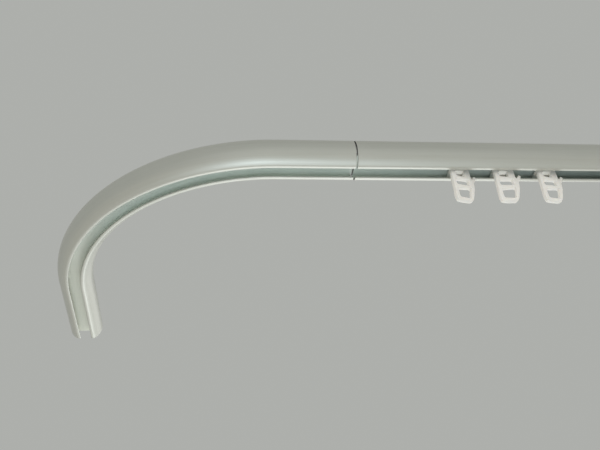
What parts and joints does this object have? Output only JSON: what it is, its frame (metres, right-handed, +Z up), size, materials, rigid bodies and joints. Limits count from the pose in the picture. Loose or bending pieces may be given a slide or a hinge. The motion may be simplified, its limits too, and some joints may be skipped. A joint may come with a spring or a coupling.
{
  "type": "bay window curtain rod",
  "caption": "Corner section of a round aluminium curtain rod with a slotted glider track underneath, a bend butted to a straight tube, and plastic pleat-hook gliders.",
  "frame": {"origin": "on the tube's axis, halfway along the straight stub of the bend, where a bracket holds it", "axes": "+X along the straight tube away from the bend, +Y to the wall along the arm, +Z up, slot facing down"},
  "size_m": [0.3199, 0.1775, 0.037],
  "materials": {
    "rod_aluminium": "satin anodised, lengthwise extrusion grain",
    "splice_aluminium": "plain mill finish",
    "screw_steel": "zinc plated",
    "runner_plastic": "moulded off-white, satin",
    "hook_plastic": "moulded off-white, satin"
  },
  "bodies": {
    "rail": {"bend_tube": "rod_aluminium", "straight_tube": "rod_aluminium", "splice_bar": "splice_aluminium", "set_screws": "screw_steel"},
    "runner_1": {"runner_1": "runner_plastic"},
    "hook_1": {"hook_1": "hook_plastic"},
    "runner_2": {"runner_2": "runner_plastic"},
    "hook_2": {"hook_2": "hook_plastic"},
    "runner_3": {"runner_3": "runner_plastic"},
    "hook_3": {"hook_3": "hook_plastic"}
  },
  "joints": [
    {"name": "glider_1_slide", "type": "slide", "parent": "rail", "child": "runner_1", "axis": [1, 0, 0], "range_m": [-0.086, 0.0032]},
    {"name": "hook_1_swivel", "type": "hinge", "parent": "runner_1", "child": "hook_1", "pos_m": [0.07415, 0, -0.006], "axis": [0, 0, 1], "range_deg": [-36, 2]},
    {"name": "glider_2_slide", "type": "slide", "parent": "rail", "child": "runner_2", "axis": [1, 0, 0], "range_m": [-0.0032, 0.0032]},
    {"name": "hook_2_swivel", "type": "hinge", "parent": "runner_2", "child": "hook_2", "pos_m": [0.09775, 0, -0.006], "axis": [0, 0, 1], "range_deg": [-25, 13]},
    {"name": "glider_3_slide", "type": "slide", "parent": "rail", "child": "runner_3", "axis": [1, 0, 0], "range_m": [-0.0032, 0.05]},
    {"name": "hook_3_swivel", "type": "hinge", "parent": "runner_3", "child": "hook_3", "pos_m": [0.12135, 0, -0.006], "axis": [0, 0, 1], "range_deg": [-31, 7]}
  ]
}
